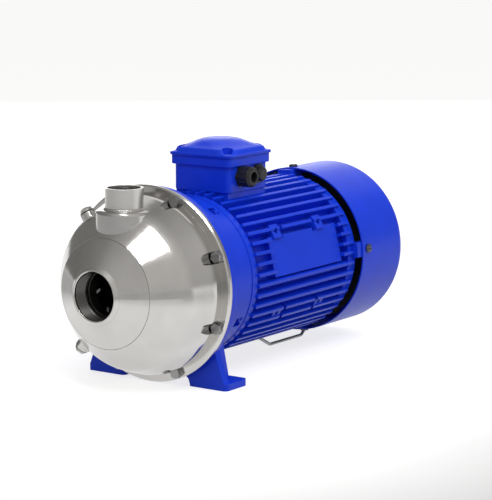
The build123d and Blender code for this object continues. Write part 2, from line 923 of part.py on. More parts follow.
def make_rear_shield():
    boss_r = bearing_outer_r + bearing_boss_wall
    plate_end = shield_start + shield_wall
    body = turned(
        (bearing_outer_r, rear_bearing_station - 2),
        (boss_r, rear_bearing_station - 2),
        (boss_r, shield_start),
        (frame_bore_r - 5, shield_start),
        (frame_bore_r - 5, shield_start - spigot_length),
        (frame_bore_r - seat_gap, shield_start - spigot_length),
        (frame_bore_r - seat_gap, shield_start),
        (frame_ring_r, shield_start),
        (frame_ring_r, plate_end),
        (boss_r + 6, plate_end),
        (boss_r, shield_boss_end),
        (fan_shaft_r + 3, shield_boss_end),
        (fan_shaft_r + 3, rear_bearing_end + wave_washer_wall + 1),
        (bearing_outer_r, rear_bearing_end + wave_washer_wall + 1),
    )
    for angle in angles(lug_count, lug_first_angle):
        lug = side_block(angle, cover_inner_r + 2, lug_depth + 2, lug_width, shield_start, shield_start + lug_length)
        body = body + (lug & bar(cover_inner_r - seat_gap, shield_start, lug_length))
        hole = Pos(0, 0, cover_inner_r - lug_screw_length) * Cylinder(lug_screw_r + seat_gap, 20, align=UP)
        body = body - outward(angle, lug_screw_station, hole)
    for angle in angles(joint_screw_count, joint_screw_first_angle):
        body = body - spun(angle, bar(joint_screw_r + 0.3, shield_start, shield_wall, joint_screw_pitch_r))
    return body


def make_wave_washer():
    """Spring washer, drawn as a ring with three shallow folds."""
    start = rear_bearing_end
    washer = ring(bearing_outer_r - 0.5, bearing_outer_r - 5, start, wave_washer_wall)
    for angle in angles(3, 0):
        pad = Pos(bearing_outer_r - 2.75, start, 0) * Box(
            4, wave_washer_wall + 0.9, 6, align=(Align.CENTER, Align.MIN, Align.CENTER))
        washer = washer + spun(angle, pad)
    return washer


def make_fan():
    hub = ring(fan_hub_r, fan_shaft_r + seat_gap, fan_station, fan_blade_height)
    plate = ring(fan_r, fan_hub_r - 1, fan_station, fan_plate)
    fan = hub + plate
    for angle in angles(fan_blade_count, 0):
        blade = Pos(fan_hub_r - 1, fan_station, 0) * Box(
            fan_r - fan_hub_r + 1, fan_blade_height, fan_blade_wall,
            align=(Align.MIN, Align.MIN, Align.CENTER))
        fan = fan + spun(angle, blade)
    return fan


def make_fan_clip():
    return ring(fan_clip_r, fan_shaft_r - 0.7 + seat_gap, fan_station + fan_blade_height + 2 * seat_gap, fan_clip_wall)


def make_fan_cover():
    corners = [(cover_r, cover_start), (cover_r, cover_end), (0, cover_end)]
    inner_corners = [(cover_inner_r, cover_start), (cover_inner_r, cover_end - cover_wall), (0, cover_end - cover_wall)]
    shells = []
    for points, rounding in ((corners, cover_round), (inner_corners, cover_round - cover_wall)):
        outline = FilletPolyline(*points, radius=rounding)
        closing = Polyline((0, points[2][1]), (0, cover_start), points[0])
        shells.append(revolve(make_face(outline + closing), Axis.Y))
    cover = shells[0] - shells[1]
    cutter = None
    for i in range(grille_rings):
        low = grille_inner_r + i * grille_pitch
        slot = ring(low + grille_slot, low, cover_end - 3, 5)
        cutter = slot if cutter is None else cutter + slot
    for angle in angles(grille_spokes, 30):
        spoke = Pos(0, cover_end - 4, 0) * Box(
            cover_r, 8, grille_spoke, align=(Align.MIN, Align.MIN, Align.CENTER))
        cutter = cutter - spun(angle, spoke)
    cover = cover - cutter
    for angle in angles(lug_count, lug_first_angle):
        hole = Pos(0, 0, cover_inner_r - 3) * Cylinder(lug_screw_r + 0.2, 10, align=UP)
        cover = cover - outward(angle, lug_screw_station, hole)
    return cover - wire_path(wire_r + seat_gap)


def make_fan_cover_screws():
    solids = []
    for angle in angles(lug_count, lug_first_angle):
        shank = Pos(0, 0, cover_r - lug_screw_length) * Cylinder(lug_screw_r, lug_screw_length, align=UP)
        head = Pos(0, 0, cover_r) * Cylinder(lug_screw_head_r, lug_screw_head, align=UP)
        head = fillet(head.edges().group_by(Axis.Z)[-1], 1.4)
        recess = Pos(0, 0, cover_r + lug_screw_head - 1) * Box(1.2, 2 * lug_screw_head_r, 3, align=UP)
        solids.append(outward(angle, lug_screw_station, shank + head - recess))
    return solids


def wire_path(radius):
    """The bent wire of the rear stand, at a radius that also cuts its holes."""
    low = floor + wire_r
    top = -fin_r + wire_hook
    points = [
        (0, wire_front_station, top),
        (0, wire_front_station, -fin_r - 2.5),
        (0, wire_front_bottom, low),
        (0, wire_rear_bottom, low),
        (0, wire_rear_station, low + wire_corner_rise),
        (0, wire_rear_station, -cover_inner_r + 3),
    ]
    path = FilletPolyline(*points, radius=wire_bend_r)
    section = Plane(origin=path @ 0, z_dir=path % 0) * Circle(radius)
    return sweep(section, path)


def make_wire_stand():
    return wire_path(wire_r)


# Terminal box

def rounded_square(half, corner, swell=0.0):
    """Square face with rounded corners, whose sides can bow out by the swell."""
    if swell == 0:
        return RectangleRounded(2 * half, 2 * half, corner)
    sides = []
    for i in range(4):
        side = ThreePointArc((half, -half), (half + swell, 0), (half, half))
        sides.append(Rot(0, 0, 90 * i) * side)
    face = make_face(sides[0] + sides[1] + sides[2] + sides[3])
    return fillet(face.vertices(), corner)


def box_prism(half, corner, low, high, swell=0.0):
    return Pos(0, box_station, low) * extrude(rounded_square(half, corner, swell), high - low)


def box_corners():
    return [(x * box_lug, box_station + y * box_lug) for x in (-1, 1) for y in (-1, 1)]


def entry(station, solid):
    """Carries a solid that stands along +Z to a cable entry, pointing out of the +X wall."""
    return Pos(box_half, station, entry_height) * Rot(0, 90, 0) * solid


def make_terminal_box():
    body = box_prism(box_half, box_corner, box_bottom, box_top)
    for x, y in box_corners():
        body = body + Pos(x, y, box_top - box_lug_height) * Cylinder(box_lug_r, box_lug_height, align=UP)
    inside = box_prism(box_half - box_wall, box_corner - box_wall, box_bottom + box_floor, box_top + 1)
    pillars = None
    for x, y in box_corners():
        inner_x = x * (box_lug - 2) / box_lug
        inner_y = box_station + (y - box_station) * (box_lug - 2) / box_lug
        post = Pos(inner_x, inner_y, box_bottom) * Cylinder(box_lug_r, box_top - box_bottom, align=UP)
        pillars = post if pillars is None else pillars + post
    body = body - (inside - pillars)
    for x, y in box_corners():
        hole = Pos(x, y, box_top - lid_screw_length + 4) * Cylinder(lid_screw_r + seat_gap, 30, align=UP)
        body = body - hole
    body = body - Pos(0, box_station, box_bottom - 1) * Cylinder(lead_hole_r, 10, align=UP)
    for station in (gland_station, blank_station):
        body = body - entry(station, Pos(0, 0, -10) * Cylinder(entry_r + seat_gap, 20, align=UP))
    return body


def make_terminal_box_gasket():
    outer = box_prism(box_half, box_corner, box_top, box_top + gasket_wall)
    inner = box_prism(box_half - box_wall, box_corner - box_wall, box_top - 1, box_top + gasket_wall + 1)
    gasket = outer - inner
    for x, y in box_corners():
        gasket = gasket + Pos(x, y, box_top) * Cylinder(box_lug_r, gasket_wall, align=UP)
    for x, y in box_corners():
        gasket = gasket - Pos(x, y, box_top) * Cylinder(lid_screw_r + 0.2, gasket_wall, align=UP)
    return gasket


def dome(radius, base, rim, rise, rounding):
    """Round crowned cap of the lid, about the box's upright centre line."""
    top = base + rim + rise
    outline = FilletPolyline(
        (radius, base), (radius, base + rim), (radius * 0.5, top), (0, top),
        radius=[rounding, radius])
    closing = Polyline((0, top), (0, base), (radius, base))
    return Pos(0, box_station, 0) * revolve(Plane.XZ * make_face(outline + closing), Axis.Z)


def make_terminal_lid():
    seat = box_top + gasket_wall
    lid = box_prism(lid_half, lid_corner, lid_bottom, lid_deck, lid_swell)
    lid = fillet(lid.edges().group_by(Axis.Z)[-1], 1.5)
    cap = dome(dome_r, lid_deck - 1, dome_rim + 1, dome_rise, dome_round)
    button = Pos(0, box_station, lid_deck) * Cylinder(button_r, dome_rim + dome_rise + button_rise, align=UP)
    button = fillet(button.edges().group_by(Axis.Z)[-1], 1.0)
    lid = lid + cap + button
    rim_half = box_lug + box_lug_r + 0.4
    lid = lid - box_prism(rim_half, box_lug_r + 0.5, lid_bottom - 1, seat)
    hollow = box_prism(box_half - box_wall, box_corner - box_wall, seat - 1, lid_deck - lid_wall)
    cavity = dome(dome_r - 10, lid_deck - lid_wall - 1, dome_rim, dome_rise, 1.0)
    for x, y in box_corners():
        hollow = hollow - Pos(x, y, seat) * Cylinder(box_lug_r + 1, 20, align=UP)
    lid = lid - hollow - cavity
    for x, y in box_corners():
        lid = lid - Pos(x, y, seat - 1) * Cylinder(lid_screw_r + 0.3, 30, align=UP)
        lid = lid - Pos(x, y, lid_deck - lid_screw_head - 0.2) * Cylinder(lid_screw_head_r + 0.4, 10, align=UP)
    return lid


def make_lid_screws():
    solids = []
    top = lid_deck - 0.2
    for x, y in box_corners():
        head = Pos(x, y, top - lid_screw_head) * Cylinder(lid_screw_head_r, lid_screw_head, align=UP)
        slot = Pos(x, y, top - 1) * Box(2 * lid_screw_head_r, 1.1, 2, align=UP)
        shank = Pos(x, y, top - lid_screw_head - lid_screw_length) * Cylinder(
            lid_screw_r, lid_screw_length, align=UP)
        solids.append(head - slot + shank)
    return solids


def stud_places():
    return [(i * stud_spacing, box_station + 4 + j * stud_spacing) for i in (-1, 0, 1) for j in (-0.5, 0.5)]


def block_top():
    return box_bottom + box_floor + block_height


def make_terminal_block():
    low = box_bottom + box_floor
    centre = box_station + 4
    block = Pos(0, centre, low) * Box(block_length, block_width, block_height, align=UP)
    block = block - Pos(0, centre, low) * Box(block_length - 14, block_width + 2, 4, align=UP)
    for x in (-stud_spacing / 2, stud_spacing / 2):
        fence = Pos(x, centre, low + block_height) * Box(1.4, block_width, 4, align=UP)
        block = block + fence
    for x, y in stud_places():
        block = block - Pos(x, y, low) * Cylinder(stud_r, block_height, align=UP)
    return block


def make_terminal_studs():
    solids = []
    for x, y in stud_places():
        stud = Pos(x, y, block_top() - 5) * Cylinder(stud_r, 5 + stud_rise, align=UP)
        nut = Pos(x, y, block_top() + link_wall) * hex_bar(7.0, 3.2)
        solids.append(stud + nut)
    return solids


def make_terminal_links():
    solids = []
    for i in (-1, 0, 1):
        x = i * stud_spacing
        link = Pos(x, box_station + 4, block_top()) * Box(
            link_width, stud_spacing + link_width, link_wall, align=UP)
        for j in (-0.5, 0.5):
            link = link - Pos(x, box_station + 4 + j * stud_spacing, block_top()) * Cylinder(
                stud_r, link_wall, align=UP)
        solids.append(link)
    return solids


def earth_place():
    return (-box_half + box_wall + 8, box_station - box_half + box_wall + 11, box_bottom + box_floor)


def make_earth_screw():
    head = Pos(*earth_place()) * Cylinder(4.5, 3, align=UP)
    slot = Pos(*earth_place()) * Pos(0, 0, 2) * Box(9, 1.1, 2, align=UP)
    return head - slot


def make_cable_gland_body():
    collar = Rot(0, 0, 30) * hex_bar(gland_flats, gland_collar)
    inner = Pos(0, 0, -box_wall - 2) * Cylinder(entry_r, box_wall + 2, align=UP)
    neck = Pos(0, 0, gland_collar) * Cylinder(gland_neck_r, gland_neck, align=UP)
    body = collar + inner + neck
    body = body - Pos(0, 0, -10) * Cylinder(gland_bore_r, 40, align=UP)
    pocket = Pos(0, 0, gland_collar + gland_neck - gland_seal_length) * Cylinder(7.0, 20, align=UP)
    return entry(gland_station, body - pocket)


def make_cable_gland_seal():
    start = gland_collar + gland_neck - gland_seal_length
    seal = Pos(0, 0, start) * Cylinder(7.0, gland_seal_length, align=UP)
    seal = seal - Pos(0, 0, start) * Cylinder(gland_bore_r, gland_seal_length, align=UP)
    return entry(gland_station, seal)


def make_cable_gland_nut():
    nut = Pos(0, 0, gland_collar + 0.2) * Cylinder(gland_nut_r, gland_nut, align=UP)
    nut = chamfer(nut.edges().group_by(Axis.Z)[-1], 2.5)
    for angle in angles(10, 0):
        flute = Rot(0, 0, angle) * Pos(gland_nut_r + 1.2, 0, gland_collar) * Cylinder(1.9, gland_nut - 3, align=UP)
        nut = nut - flute
    nut = nut - Pos(0, 0, gland_collar) * Cylinder(gland_neck_r + seat_gap, gland_neck + seat_gap, align=UP)
    nut = nut - Pos(0, 0, gland_collar) * Cylinder(gland_bore_r, 30, align=UP)
    return entry(gland_station, nut)


def make_blanking_plug():
    head = Rot(0, 0, 30) * hex_bar(blank_flats, blank_head)
    inner = Pos(0, 0, -box_wall - 2) * Cylinder(entry_r, box_wall + 2, align=UP)
    cap = Pos(0, 0, blank_head) * Cylinder(blank_cap_r, blank_cap - 3, align=UP)
    cap = fillet(cap.edges().group_by(Axis.Z)[-1], 2.5)
    return entry(blank_station, head + inner + cap)


def as_list(made):
    return list(made) if isinstance(made, list) else [made]


# Every node's name, with the function that makes it and what that function is given
NODES = {
    "pump_casing": (make_pump_casing,),
    "suction_socket": (make_suction_socket,),
    "discharge_nozzle": (make_discharge_nozzle,),
    "wear_ring": (make_wear_ring,),
    "fill_plug": (make_plug, fill_angle),
    "fill_plug_seal": (make_plug_seal, fill_angle),
    "drain_plug": (make_plug, drain_angle),
    "drain_plug_seal": (make_plug_seal, drain_angle),
    "casing_screws": (make_casing_screws,),
    "casing_o_ring": (make_casing_o_ring,),
    "seal_disc": (make_seal_disc,),
    "seal_seat": (make_seal_seat,),
    "seal_seat_cup": (make_seal_seat_cup,),
    "seal_head": (make_seal_head,),
    "seal_bellows": (make_seal_bellows,),
    "seal_spring": (make_seal_spring,),
    "impeller": (make_impeller,),
    "impeller_key": (make_impeller_key,),
    "impeller_washer": (make_impeller_washer,),
    "impeller_nut": (make_impeller_nut,),
    "shaft": (make_shaft,),
    "slinger": (make_slinger,),
    "rotor_core": (make_rotor_core,),
    "front_bearing_inner": (make_bearing_inner, front_bearing_station),
    "front_bearing_balls": (make_bearing_balls, front_bearing_station),
    "front_bearing_outer": (make_bearing_outer, front_bearing_station),
    "rear_bearing_inner": (make_bearing_inner, rear_bearing_station),
    "rear_bearing_balls": (make_bearing_balls, rear_bearing_station),
    "rear_bearing_outer": (make_bearing_outer, rear_bearing_station),
    "wave_washer": (make_wave_washer,),
    "adapter": (make_adapter,),
    "adapter_screws": (make_joint_screws, bracket_end - joint_screw_seat, 1),
    "motor_frame": (make_motor_frame,),
    "stator_core": (make_stator_core,),
    "windings": (make_windings,),
    "rear_shield": (make_rear_shield,),
    "shield_screws": (make_joint_screws, shield_start + shield_wall, -1),
    "fan": (make_fan,),
    "fan_clip": (make_fan_clip,),
    "fan_cover": (make_fan_cover,),
    "fan_cover_screws": (make_fan_cover_screws,),
    "wire_stand": (make_wire_stand,),
    "terminal_box": (make_terminal_box,),
    "terminal_box_gasket": (make_terminal_box_gasket,),
    "terminal_lid": (make_terminal_lid,),
    "lid_screws": (make_lid_screws,),
    "terminal_block": (make_terminal_block,),
    "terminal_studs": (make_terminal_studs,),
    "terminal_links": (make_terminal_links,),
    "earth_screw": (make_earth_screw,),
    "cable_gland_body": (make_cable_gland_body,),
    "cable_gland_seal": (make_cable_gland_seal,),
    "cable_gland_nut": (make_cable_gland_nut,),
    "blanking_plug": (make_blanking_plug,),
}

os.makedirs("parts", exist_ok=True)
for name, (make, *given) in NODES.items():
    solids = [solid for shape in as_list(make(*given)) for solid in shape.solids()]
    node = solids[0] if len(solids) == 1 else Compound(children=solids)
    export_step(node, os.path.join("parts", name + ".step"))
    print(name, len(solids), flush=True)
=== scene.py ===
import json
import math

import bmesh
import bpy
from mathutils import Matrix, Vector


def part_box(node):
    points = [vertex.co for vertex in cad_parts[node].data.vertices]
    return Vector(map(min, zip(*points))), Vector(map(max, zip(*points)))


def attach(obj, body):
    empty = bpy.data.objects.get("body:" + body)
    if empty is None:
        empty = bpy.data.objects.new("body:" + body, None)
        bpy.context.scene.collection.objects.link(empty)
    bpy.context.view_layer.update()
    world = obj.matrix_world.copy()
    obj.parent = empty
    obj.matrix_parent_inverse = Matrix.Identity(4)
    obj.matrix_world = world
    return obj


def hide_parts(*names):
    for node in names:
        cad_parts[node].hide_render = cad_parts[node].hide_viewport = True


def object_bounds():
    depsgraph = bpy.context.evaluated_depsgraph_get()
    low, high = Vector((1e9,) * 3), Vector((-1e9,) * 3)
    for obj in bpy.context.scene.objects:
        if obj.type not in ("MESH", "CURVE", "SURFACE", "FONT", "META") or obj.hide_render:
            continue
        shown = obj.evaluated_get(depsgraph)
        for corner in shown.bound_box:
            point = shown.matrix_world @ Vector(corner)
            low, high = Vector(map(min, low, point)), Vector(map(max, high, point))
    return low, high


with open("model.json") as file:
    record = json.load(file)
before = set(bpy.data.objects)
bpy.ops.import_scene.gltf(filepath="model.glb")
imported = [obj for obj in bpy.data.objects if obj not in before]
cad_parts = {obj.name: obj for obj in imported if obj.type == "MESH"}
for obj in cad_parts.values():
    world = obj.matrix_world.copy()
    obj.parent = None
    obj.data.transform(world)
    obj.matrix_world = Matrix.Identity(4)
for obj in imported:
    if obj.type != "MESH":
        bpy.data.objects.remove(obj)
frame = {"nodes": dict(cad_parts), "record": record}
cad_bounds = [list(corner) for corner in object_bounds()]
mounts = {mount["name"]: mount for mount in frame["record"]["mounts"]}
scene = bpy.context.scene
MM = 0.001

# Camera, fitted to the photograph's frame of 492 x 500 pixels
photo_height = 500
focal_pixels = 2061.9
sensor_size = 36.0
camera_azimuth = math.radians(35.04)
camera_elevation = math.radians(9.42)
camera_place = Vector((1229.5, -1500.3, 366.2)) * MM
camera_range = 80.0

# Surroundings: brightness of the sky by how far a direction leans to the bright side
sky_bright_side = Vector((0.70, -0.45, 0.55)).normalized()
sky_ramp = ((0.0, 0.22), (0.42, 0.28), (0.60, 0.36), (0.84, 0.62), (1.0, 0.76))
sky_warmth = (1.0, 0.985, 0.96)
sky_strength = 0.95
background_white = (1.0, 1.0, 1.0, 1.0)

# Lights, in metres and watts. The softbox shows in the cone of the casing, and the rest are soft fills.
lights = {
    "softbox": {
        "place": (0.437, -0.595, 1.238), "target": (0.043, 0.030, 0.050), "size": (0.80, 0.09), "power": 5.5,
        "across": (0.727, -0.194, -0.343)},
    "top_light": {
        "place": (1.0, 0.7, 1.3), "target": (0.0, 0.2, 0.0), "size": (0.9, 0.9), "power": 9.5,
        "mirrored": False},
    "rear_light": {
        "place": (-0.5, 1.7, 1.5), "target": (0.0, 0.2, 0.0), "size": (2.0, 1.4), "power": 6.0},
    "back_light": {
        "place": (-1.7, 2.45, 0.62), "target": (0.0, 0.2, 0.05), "size": (2.2, 0.9), "power": 14.0},
}

# Floor, with painted shade at some distance in front of the object, where the polished casing mirrors it
floor_level = cad_bounds[0][2]
floor_radius = 40.0
floor_sides = 96
floor_colour = 0.42
floor_specular = 0.1
floor_roughness = 0.9
floor_glow = 0.75
floor_shade = 0.50
floor_shade_reach = (0.28, 0.56)
floor_shade_back = (0.10, 0.45)
floor_shade_end = (3.0, 12.0)

# Unevenness that the finishes share: sizes are counts per metre, ranges are parts of the noise's span
turned_patch_scale = 28.0
grained_patch_scale = 35.0
smudge_scale = 55.0
wave_scale = 160.0
patch_range = (0.3, 0.7)
smudge_range = (0.3, 0.75)
turned_patch_spread = 0.06
turned_edge = 0.4 * MM
edge_samples = 4

# Nodes whose finish differs from their slot's
other_finishes = {
    "adapter_screws": "blue_paint",
    "shield_screws": "blue_paint",
    "fan_cover_screws": "dark_steel",
    "lid_screws": "blue_paint",
    # The outlet's lighter satin steel paints light on it
    "discharge_nozzle": "satin_steel",
    "casing_screws": "screw_steel",
    "wire_stand": "screw_steel",
    # Impeller, wear ring and nut in the mouth get dark steels that paint the shade there
    "impeller": "cast_steel",
    "wear_ring": "thread_steel",
    "impeller_nut": "thread_steel",
}

# Port threads, from start to end along each bore, with a profile in shares of pitch and depth
thread_pitch = 2.309 * MM
thread_depth = 1.48 * MM
thread_root_overlap = 0.03 * MM
thread_runout_turns = 0.5
thread_segments = 72
thread_profile = ((0.0, 0.0), (0.12, 0.12), (0.42, 0.92), (0.5, 1.0), (0.58, 0.92), (0.88, 0.12), (1.0, 0.0))
suction_bore_r = mounts["suction_port"]["dims"]["r_mm"] * MM
suction_thread = (0.8 * MM, 17.2 * MM)
outlet_bore_r = mounts["discharge_port"]["dims"]["r_mm"] * MM
outlet_station = mounts["discharge_port"]["pos_m"][1]
outlet_thread = (76.0 * MM, 99.2 * MM)

# Weld bead round the foot of the outlet
weld_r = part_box("discharge_nozzle")[1][0]
weld_level = 79.0 * MM
weld_size = 1.7 * MM
weld_ripple = 0.07
weld_ripples = 64
weld_segments = 256
weld_sides = 12

# Terminal box and lid, as rounded squares: half width, corner radius and level in millimetres
box_station = sum(corner[1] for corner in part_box("terminal_box")) / 2
box_rings = ((34.0, 6.0, 82.0), (34.6, 6.0, 82.5), (34.8, 6.0, 84.0), (34.8, 6.0, 111.2), (34.0, 6.0, 111.4))
lid_rings = (
    (36.6, 5.0, 108.5), (37.2, 5.0, 109.0), (37.2, 5.0, 117.6), (38.6, 6.0, 118.2), (38.8, 6.0, 118.8),
    (38.8, 6.0, 120.6), (38.4, 6.4, 121.0), (37.9, 12.0, 121.2), (37.6, 16.0, 122.0), (36.7, 17.0, 125.2),
    (36.0, 18.0, 126.0), (34.6, 18.5, 126.6), (31.6, 20.5, 127.6), (28.6, 23.0, 129.2), (26.0, 24.0, 130.8),
    (23.2, 23.0, 132.2), (19.4, 19.3, 133.4), (15.0, 14.9, 134.2), (10.0, 9.9, 134.5), (4.0, 3.9, 134.6))
corner_steps = 10
lid_recess_r = 5.6 * MM
lid_recess_level = 119.4 * MM
lid_recess_top = 140.0 * MM
lid_screw_reach = 29.5 * MM
bore_segments = 40

# Fan, seen in shade through the gap between fins and cover, and through the grille
fan_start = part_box("fan")[0][1]
fan_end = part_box("fan")[1][1]
fan_bore_r = 9.1 * MM
fan_hub_r = 15.0 * MM
fan_r = 80.0 * MM
fan_plate = 2.5 * MM
fan_blade_count = 9
fan_blade_wall = 2.2 * MM
fan_blade_lean = math.radians(14)
fan_blade_overlap = 1.0 * MM
fan_blade_steps = 8
fan_segments = 72

# Hexagon plugs of the casing, as rings: radius and rise in millimetres, and whether hexagonal
plug_station = sum(corner[1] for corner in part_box("fill_plug")) / 2
plug_angles = {"fill_plug": math.radians(124.0), "drain_plug": math.radians(229.0)}
plug_seat_r = 86.2 * MM
plug_rings = ((6.9, 0.0, False), (6.9, 1.0, False), (6.05, 1.1, True), (6.05, 3.6, True), (5.1, 4.2, True))
plug_segments = 48

# Corners sharper than this stay sharp in the pieces
sharp_angle = math.radians(32)


# Node trees

class Graph:
    """Short calls for building a node tree."""

    def __init__(self, tree):
        self.tree = tree

    def add(self, kind, **settings):
        node = self.tree.nodes.new(kind)
        for key, value in settings.items():
            setattr(node, key, value)
        return node

    def join(self, output, socket):
        self.tree.links.new(output, socket)

    def place(self, scale=(1, 1, 1)):
        """Object coordinates in metres, each axis times its scale."""
        coordinates = self.add("ShaderNodeTexCoord").outputs["Object"]
        mapping = self.add("ShaderNodeMapping")
        mapping.inputs["Scale"].default_value = scale
        self.join(coordinates, mapping.inputs["Vector"])
        return mapping.outputs["Vector"]

    def lathe(self):
        """Coordinates that are the same all round the shaft line: radius and station, in metres."""
        parts = self.add("ShaderNodeSeparateXYZ")
        self.join(self.place(), parts.inputs["Vector"])
        flat = self.flat(x=parts.outputs["X"], z=parts.outputs["Z"])
        return self.flat(x=self.length(flat), y=parts.outputs["Y"])

    def flat(self, **parts):
        """Vector of the given parts, with nothing in the direction that is left out."""
        node = self.add("ShaderNodeCombineXYZ")
        for axis, value in parts.items():
            self.join(value, node.inputs[axis.upper()])
        return node.outputs["Vector"]

    def length(self, vector):
        node = self.add("ShaderNodeVectorMath", operation="LENGTH")
        self.join(vector, node.inputs[0])
        return node.outputs["Value"]

    def calculate(self, operation, *values):
        """Result of one operation on its values, each an output or a number."""
        node = self.add("ShaderNodeMath", operation=operation)
        for value, socket in zip(values, node.inputs):
            if isinstance(value, bpy.types.NodeSocket):
                self.join(value, socket)
            else:
                socket.default_value = value
        return node.outputs["Value"]

    def times(self, first, second):
        return self.calculate("MULTIPLY", first, second)

    def plus(self, first, second):
        return self.calculate("ADD", first, second)

    def spread(self, value, low, high, to_low, to_high):
        """The value, carried from one range to another and kept within it."""
        node = self.add("ShaderNodeMapRange")
        self.join(value, node.inputs["Value"])
        node.inputs["From Min"].default_value = low
        node.inputs["From Max"].default_value = high
        node.inputs["To Min"].default_value = to_low
        node.inputs["To Max"].default_value = to_high
        return node.outputs["Result"]

    def noise(self, vector, scale, detail):
        node = self.add("ShaderNodeTexNoise")
        node.inputs["Scale"].default_value = scale
        node.inputs["Detail"].default_value = detail
        self.join(vector, node.inputs["Vector"])
        return node.outputs["Fac"]

    def ramp(self, value, stops):
        node = self.add("ShaderNodeValToRGB")
        points = node.color_ramp.elements
        while len(points) < len(stops):
            points.new(0.5)
        for point, (place, colour) in zip(points, stops):
            point.position = place
            point.color = tuple(colour[:3]) + (1.0,)
        self.join(value, node.inputs["Fac"])
        return node.outputs["Color"]


# Camera, lights and surroundings

def make_camera():
    data = bpy.data.cameras.new("camera")
    data.sensor_fit = "VERTICAL"
    data.sensor_height = sensor_size
    data.lens = focal_pixels * sensor_size / photo_height
    data.clip_end = camera_range
    camera = bpy.data.objects.new("camera", data)
    forward = Vector((
        -math.sin(camera_azimuth) * math.cos(camera_elevation),
        math.cos(camera_azimuth) * math.cos(camera_elevation),
        -math.sin(camera_elevation)))
    camera.location = camera_place
    camera.rotation_euler = forward.to_track_quat("-Z", "Y").to_euler()
    scene.collection.objects.link(camera)
    scene.camera = camera


def make_world():
    """Soft grey surroundings, brightest to the right in front, with a white background for the camera."""
    world = bpy.data.worlds.new("world")
    world.use_nodes = True
    tree = world.node_tree
    graph = Graph(tree)
    sky = tree.nodes["Background"]
    lean = graph.add("ShaderNodeVectorMath", operation="DOT_PRODUCT")
    graph.join(graph.add("ShaderNodeTexCoord").outputs["Generated"], lean.inputs[0])
    lean.inputs[1].default_value = sky_bright_side
    share = graph.spread(lean.outputs["Value"], -1, 1, 0, 1)
    colours = [(place, tuple(level * tint for tint in sky_warmth)) for place, level in sky_ramp]
    graph.join(graph.ramp(share, colours), sky.inputs["Color"])
    sky.inputs["Strength"].default_value = sky_strength
    backdrop = graph.add("ShaderNodeBackground")
    backdrop.inputs["Color"].default_value = background_white
    rays = graph.add("ShaderNodeLightPath")
    both = graph.add("ShaderNodeMixShader")
    graph.join(rays.outputs["Is Camera Ray"], both.inputs["Fac"])
    graph.join(sky.outputs["Background"], both.inputs[1])
    graph.join(backdrop.outputs["Background"], both.inputs[2])
    graph.join(both.outputs["Shader"], tree.nodes["World Output"].inputs["Surface"])
    scene.world = world


def make_light(name, place, target, size, power, across=None, mirrored=True):
    """Area light that faces its target. Across is the direction of its first side, where that matters."""
    data = bpy.data.lights.new(name, "AREA")
    data.shape = "RECTANGLE"
    data.size, data.size_y = size
    data.energy = power
    light = bpy.data.objects.new(name, data)
    light.location = place
    light.visible_camera = False
    light.visible_glossy = mirrored
    towards = (Vector(target) - Vector(place)).normalized()
    if across is None:
        light.rotation_euler = towards.to_track_quat("-Z", "Y").to_euler()
    else:
        across = Vector(across)
        side = (across - across.dot(towards) * towards).normalized()
        axes = Matrix((side, side.cross(towards), -towards)).transposed()
        light.rotation_euler = axes.to_euler()
    scene.collection.objects.link(light)


# Materials

def linear(red, green, blue):
    """Scene colour of an 8-bit display colour."""
    def channel(value):
        value = value / 255
        return value / 12.92 if value <= 0.04045 else ((value + 0.055) / 1.055) ** 2.4
    return (channel(red), channel(green), channel(blue))


def shade(colour, factor):
    return tuple(min(1.0, channel * factor) for channel in colour)


def start_material(name, metallic, specular):
    made = bpy.data.materials.new(name)
    made.use_nodes = True
    shader = made.node_tree.nodes["Principled BSDF"]
    shader.inputs["Metallic"].default_value = metallic
    shader.inputs["Specular IOR Level"].default_value = specular
    return made, shader, Graph(made.node_tree)


def patchy(graph, colour, scale, detail, spread):
    """The colour, darker and lighter in soft patches."""
    low, high = patch_range
    patches = graph.noise(graph.place(), scale, detail)
    return graph.ramp(patches, ((low, shade(colour, 1 - spread)), (high, shade(colour, 1 + spread))))


def add_relief(graph, shader, height, depth, edge):
    """Gives the shader a bump of the height, of a depth in metres, over edges that are softened."""
    soft = graph.add("ShaderNodeBevel", samples=edge_samples)
    soft.inputs["Radius"].default_value = edge
    bump = graph.add("ShaderNodeBump")
    bump.inputs["Strength"].default_value = 1.0
    bump.inputs["Distance"].default_value = depth
    graph.join(height, bump.inputs["Height"])
    graph.join(soft.outputs["Normal"], bump.inputs["Normal"])
    graph.join(bump.outputs["Normal"], shader.inputs["Normal"])


def turned_metal(name, colour, roughness, mark_scale, mark_depth):
    """Metal with polishing or turning marks that run round the shaft line."""
    made, shader, graph = start_material(name, metallic=1.0, specular=0.5)
    tone = patchy(graph, colour, turned_patch_scale, 3.0, turned_patch_spread)
    graph.join(tone, shader.inputs["Base Color"])
    smudges = graph.noise(graph.place(), smudge_scale, detail=4.0)
    graph.join(graph.spread(smudges, *smudge_range, *roughness), shader.inputs["Roughness"])
    marks = graph.noise(graph.lathe(), mark_scale, detail=3.0)
    add_relief(graph, shader, marks, mark_depth, turned_edge)
    return made


def grained(name, colour, roughness, grain_scale, grain_depth, metallic=1.0, specular=0.5, wave_depth=0.0,
            spread=0.08, edge=0.6 * MM, stretch=(1, 1, 1)):
    """Paint, plastic, rubber, plating or cast metal: a fine grain over a slow unevenness."""
    made, shader, graph = start_material(name, metallic, specular)
    tone = patchy(graph, colour, grained_patch_scale, 4.0, spread)
    graph.join(tone, shader.inputs["Base Color"])
    grain = graph.noise(graph.place(stretch), grain_scale, detail=3.0)
    graph.join(graph.spread(grain, *patch_range, *roughness), shader.inputs["Roughness"])
    waves = graph.noise(graph.place(), wave_scale, detail=2.0)
    height = graph.plus(grain, graph.times(waves, wave_depth / grain_depth))
    add_relief(graph, shader, height, grain_depth, edge)
    return made


